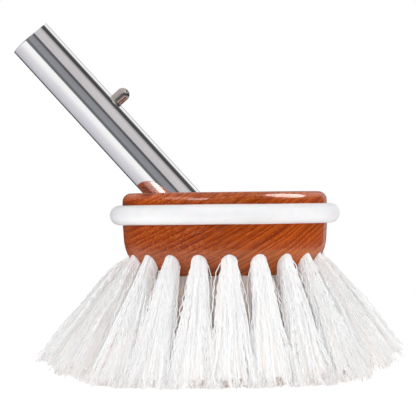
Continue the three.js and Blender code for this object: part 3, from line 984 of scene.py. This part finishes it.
def fibre_mesh(name, line, core, turn, tints, rng):
    """Thin three-sided rods along the lines and a core in their midst, each closed at both ends,
    with a map and two attributes for the material."""
    fibres, steps = line.shape[:2]
    along = np.gradient(line, axis=1)
    along /= np.linalg.norm(along, axis=2)[..., None]
    first = np.cross(along, (0, 1, 0))
    first /= np.linalg.norm(first, axis=2)[..., None]
    second = np.cross(along, first)
    # One face of each rod looks about outwards
    angles = np.arange(FIBRE_SIDES) * 2 * math.pi / FIBRE_SIDES + math.pi
    angles = angles + rng.normal(0, FACE_OUT_SCATTER, (fibres, 1))
    thickness = FIBRE_RADIUS * rng.uniform(0.85, 1.15, fibres)
    angles = angles[:, None, :, None]
    ring = np.cos(angles) * first[:, :, None] + np.sin(angles) * second[:, :, None]
    taper = 1 - FIBRE_TAPER * np.linspace(0, 1, steps) ** 3
    rods = line[:, :, None] + (thickness[:, None] * taper)[..., None, None] * ring
    bodies = (rods, core.transpose(1, 0, 2)[None])
    columns = fibres + CORE_SIDES
    points, faces, maps, shares, strands = [], [], [], [], []
    start = 0
    body_tints = (rng.uniform(*tints, fibres), np.array([tints[0] + CORE_SHADE_TINT]))
    for body, wide, tint in zip(bodies, (1, CORE_SIDES), body_tints):
        shape = body.shape[:3]
        index = sum(map(len, points)) + np.arange(np.prod(shape)).reshape(shape)
        here, after = index[:, :-1], index[:, 1:]
        faces.append(np.stack([here, after, np.roll(after, -1, 2), np.roll(here, -1, 2)], -1).reshape(-1, 4))
        faces.append(np.concatenate([index[:, 0], index[:, -1, ::-1]]))
        share = np.broadcast_to(np.linspace(0, 1, steps)[None, :, None], shape)
        column = start + wide * (np.arange(shape[0])[:, None, None] + np.linspace(0.2, 0.8, shape[2]))
        maps.append(np.stack([np.broadcast_to(column / columns, shape), share], -1).reshape(-1, 2))
        shares.append(share.ravel())
        strands.append(np.broadcast_to(tint[:, None, None], shape).ravel())
        points.append(body.reshape(-1, 3))
        start += wide * shape[0]
    mesh = new_mesh(name, moved(np.concatenate(points), tuft_matrix(turn)), *faces)
    mesh.shade_flat()
    for label, values in (("along", shares), ("strand", strands)):
        values = np.concatenate(values).astype(np.float32)
        mesh.attributes.new(label, "FLOAT", "POINT").data.foreach_set("value", values)
    corners = np.empty(len(mesh.loops), np.int32)
    mesh.loops.foreach_get("vertex_index", corners)
    flat = np.concatenate(maps)[corners].astype(np.float32)
    mesh.uv_layers.new(name="OFBake").uv.foreach_set("vector", flat.ravel())
    return mesh


def make_tufts():
    rng = np.random.default_rng(SEED)
    for row in ROWS:
        for index, turn in enumerate(tuft_turns(row)):
            node = f"{row.name}_{index + 1:02d}" if row.count > 1 else row.name
            tints = OUTER_TINTS if row.far[1] else INNER_SHADE_TINTS
            mesh = fibre_mesh(node, *fibre_lines(row, turn, rng), turn, tints, rng)
            finished(new_object(f"{node}_fibres", mesh), BRISTLE, "white_bristle", node)


block = make_block()
make_ring()
make_tube()
button = make_button()
make_spring()
make_screw()
make_tufts()


# Studio


def seen_share(nodes):
    """1 for what the camera, a reflection or glass sees, and 0 for what lights the object."""
    path = nodes.add("ShaderNodeLightPath").outputs
    both = nodes.maths("MAXIMUM", path["Is Camera Ray"], path["Is Glossy Ray"])
    return nodes.maths("MAXIMUM", both, path["Is Transmission Ray"])


AMBIENT = 0.15


def make_world():
    world = bpy.data.worlds.new("studio")
    world.use_nodes = True
    nodes = Nodes(world.node_tree)
    nodes.tree.nodes.clear()
    light = nodes.add("ShaderNodeBackground", {"Color": (0.98, 0.98, 1, 1), "Strength": AMBIENT})
    white = nodes.add("ShaderNodeBackground", {"Color": (1, 1, 1, 1), "Strength": 1.0})
    both = nodes.add("ShaderNodeMixShader", {0: seen_share(nodes), 1: light.outputs[0], 2: white.outputs[0]})
    nodes.add("ShaderNodeOutputWorld", {"Surface": both.outputs[0]})
    bpy.context.scene.world = world


FLOOR_FRONT = 420
FLOOR_BACK = 1500
FLOOR_SIDE = 1500
FLOOR_GLOW = 0.9
FLOOR_GLOW_FAR = 1.0
FLOOR_NEAR, FLOOR_FAR = 180, 420
FLOOR_LIGHT = 0.3
FLOOR_WHITE = 0.32


def make_floor():
    """A pale table top that shows white, with only the object's shadow on it."""
    corners = [
        (-FLOOR_SIDE, -FLOOR_FRONT, 0),
        (FLOOR_SIDE, -FLOOR_FRONT, 0),
        (FLOOR_SIDE, FLOOR_BACK, 0),
        (-FLOOR_SIDE, FLOOR_BACK, 0),
    ]
    floor = new_object("floor", new_mesh("floor", corners, [(0, 1, 2, 3)]))
    material = bpy.data.materials.new("pale_floor")
    material.use_nodes = True
    nodes = Nodes(material.node_tree)
    nodes.tree.nodes.clear()
    paint = nodes.add("ShaderNodeBsdfDiffuse", {"Color": (0.85, 0.85, 0.85, 1)})
    lit = nodes.add("ShaderNodeEmission", {"Color": (1, 1, 1, 1), "Strength": FLOOR_LIGHT})
    board = nodes.add("ShaderNodeAddShader", {0: paint.outputs[0], 1: lit.outputs[0]})
    shaded = nodes.add("ShaderNodeBsdfDiffuse", {"Color": (FLOOR_WHITE, FLOOR_WHITE, FLOOR_WHITE, 1)})
    distance = nodes.add("ShaderNodeVectorMath", {0: nodes.place()}, operation="LENGTH").outputs["Value"]
    strength = nodes.span(distance, FLOOR_NEAR * MM, FLOOR_FAR * MM, FLOOR_GLOW, FLOOR_GLOW_FAR)
    glow = nodes.add("ShaderNodeEmission", {"Color": (1, 1, 1, 1), "Strength": strength})
    seen = nodes.add("ShaderNodeAddShader", {0: shaded.outputs[0], 1: glow.outputs[0]})
    both = nodes.add("ShaderNodeMixShader", {0: seen_share(nodes), 1: board.outputs[0], 2: seen.outputs[0]})
    nodes.add("ShaderNodeOutputMaterial", {"Surface": both.outputs[0]})
    floor.data.materials.append(material)
    floor.visible_glossy = False


# A dome of studio walls and panels that only reflections see. Its bands run along the tube,
# and their angles are counted from the camera's side, upwards and to the right.
DOME_RADIUS = 1600
DOME_BANDS = (
    (-180, (0.05, 0.05, 0.05)),
    (-148, (0.05, 0.05, 0.05)),
    (-136, (0.50, 0.49, 0.54)),
    (-106, (0.63, 0.62, 0.67)),
    (-74, (0.75, 0.74, 0.78)),
    (-47, (1.0, 1.0, 1.0)),
    (-28, (1.0, 1.0, 1.0)),
    (-24, (0.13, 0.14, 0.15)),
    (-15, (0.15, 0.155, 0.165)),
    (-7, (0.29, 0.30, 0.325)),
    (18, (0.26, 0.265, 0.285)),
    (24, (0.09, 0.09, 0.10)),
    (31, (0.09, 0.09, 0.10)),
    (36, (0.60, 0.57, 0.58)),
    (72, (0.64, 0.61, 0.62)),
    (87, (0.40, 0.39, 0.40)),
    (92, (0.07, 0.07, 0.07)),
    (117, (0.07, 0.07, 0.07)),
    (124, (0.85, 0.85, 0.86)),
    (142, (1.0, 1.0, 1.0)),
    (150, (0.9, 0.9, 0.91)),
    (158, (0.4, 0.4, 0.42)),
    (180, (0.2, 0.2, 0.21)),
)
ROOM_BY_HEIGHT = (
    (-1.0, (0.95, 0.94, 0.93)),
    (-0.35, (0.9, 0.89, 0.88)),
    (-0.16, (0.07, 0.07, 0.075)),
    (0.12, (0.07, 0.07, 0.075)),
    (0.4, (0.9, 0.9, 0.9)),
    (1.0, (1.2, 1.2, 1.2)),
)
# A bright gap between the walls behind the brush, in radians, and where the bands fade along the tube
GAP_START, GAP_END = (0.38, 0.42), (0.6, 0.56)
BANDS_TOP, BANDS_FOOT = (0.17, 0.21), (-0.11, -0.15)


def make_dome():
    outline = [(0, -DOME_RADIUS), *arc((0, 0), DOME_RADIUS, -87, 87, 30), (0, DOME_RADIUS)]
    dome = new_object("reflection_dome", turned("reflection_dome", outline, 48))
    dome.location = HANDLE @ Vector((0, 0, TUBE_REACH / 2)) * MM
    material = bpy.data.materials.new("studio_walls")
    material.use_nodes = True
    nodes = Nodes(material.node_tree)
    nodes.tree.nodes.clear()
    ray = nodes.add("ShaderNodeVectorMath", {0: nodes.place()}, operation="NORMALIZE").outputs[0]
    turn = nodes.maths("ARCTAN2", nodes.dot(ray, BUTTON_SIDE), nodes.dot(ray, (0, -1, 0)))
    share = nodes.maths("MULTIPLY_ADD", turn, 0.5 / math.pi, 0.5)
    bands = nodes.ramp(share, *((0.5 + angle / 360, colour) for angle, colour in DOME_BANDS))
    height = nodes.maths("MULTIPLY_ADD", nodes.dot(ray, (0, 0, 1)), 0.5, 0.5)
    room = nodes.ramp(height, *((0.5 + z / 2, colour) for z, colour in ROOM_BY_HEIGHT))
    east = nodes.maths("ARCTAN2", nodes.dot(ray, (1, 0, 0)), nodes.dot(ray, (0, 1, 0)))
    gap = nodes.maths("MULTIPLY", nodes.span(east, *GAP_START), nodes.span(east, *GAP_END))
    room = nodes.mix(gap, room, (1.0, 1.0, 1.0))
    lengthways = nodes.dot(ray, TUBE_UP)
    away = nodes.maths("MAXIMUM", nodes.span(lengthways, *BANDS_TOP), nodes.span(lengthways, *BANDS_FOOT))
    colour = nodes.mix(away, bands, room)
    glow = nodes.add("ShaderNodeEmission", {"Color": colour, "Strength": 1.0})
    nodes.add("ShaderNodeOutputMaterial", {"Surface": glow.outputs[0]})
    dome.data.materials.append(material)
    dome.visible_camera = False
    dome.visible_diffuse = False
    dome.visible_shadow = False


def make_lamp(name, place, size, power, target=(0, 0, 80), shown=False):
    lamp = bpy.data.lights.new(name, "AREA")
    lamp.shape = "DISK"
    lamp.size = size * MM
    lamp.energy = power
    obj = bpy.data.objects.new(name, lamp)
    bpy.context.scene.collection.objects.link(obj)
    obj.location = Vector(place) * MM
    obj.rotation_euler = (Vector(target) - Vector(place)).to_track_quat("-Z", "Y").to_euler()
    obj.visible_glossy = shown
    return obj


def make_shine(name, place, size, power, target, piece):
    """A softbox that shows as a shine on one piece and lights nothing."""
    lamp = make_lamp(name, place, size, power, target, shown=True)
    lamp.visible_diffuse = False
    shone_on = bpy.data.collections.new(f"{name}_pieces")
    shone_on.objects.link(piece)
    lamp.light_linking.receiver_collection = shone_on


CAMERA_PLACE = Vector((-9.8, -1723, 101.9))
CAMERA_LENS = 253.6
CAMERA_ROLL = -0.7


def make_camera():
    camera = bpy.data.cameras.new("photo_camera")
    camera.lens = CAMERA_LENS
    camera.sensor_width = 36
    camera.clip_end = 100
    obj = bpy.data.objects.new("photo_camera", camera)
    bpy.context.scene.collection.objects.link(obj)
    obj.matrix_world = (
        Matrix.Translation(CAMERA_PLACE * MM)
        @ Matrix.Rotation(math.radians(90), 4, "X")
        @ Matrix.Rotation(math.radians(CAMERA_ROLL), 4, "Z")
    )
    bpy.context.scene.camera = obj


make_world()
make_floor()
make_dome()
make_lamp("right_softbox", (545, -110, 510), 300, 1.34)
make_lamp("top_softbox", (0, -250, 1300), 1200, 3.4)
make_lamp("left_lamp", (-1300, -600, 500), 700, 8.8)
make_lamp("right_lamp", (1300, -600, 500), 700, 3.9)
make_lamp("front_lamp", (-10, -1750, 130), 500, 9)
make_lamp("back_lamp", (300, 1700, 500), 700, 9)
make_shine("right_shine", (400, -20, 446), 404, 10, (40, -45, 106), block)
make_shine("left_shine", (-495, -830, 511), 460, 8, (-45, -30, 111), block)
make_shine("button_shine", (454, -224, 746), 150, 0.5, (-58, 0, 170), button)
make_shine("left_veil", (-733, -420, 723), 610, 5, (-45, -30, 111), block)
make_camera()
bpy.context.scene.view_settings.view_transform = "Standard"
bpy.context.scene.cycles.diffuse_bounces = 16
bpy.context.scene.cycles.max_bounces = 20
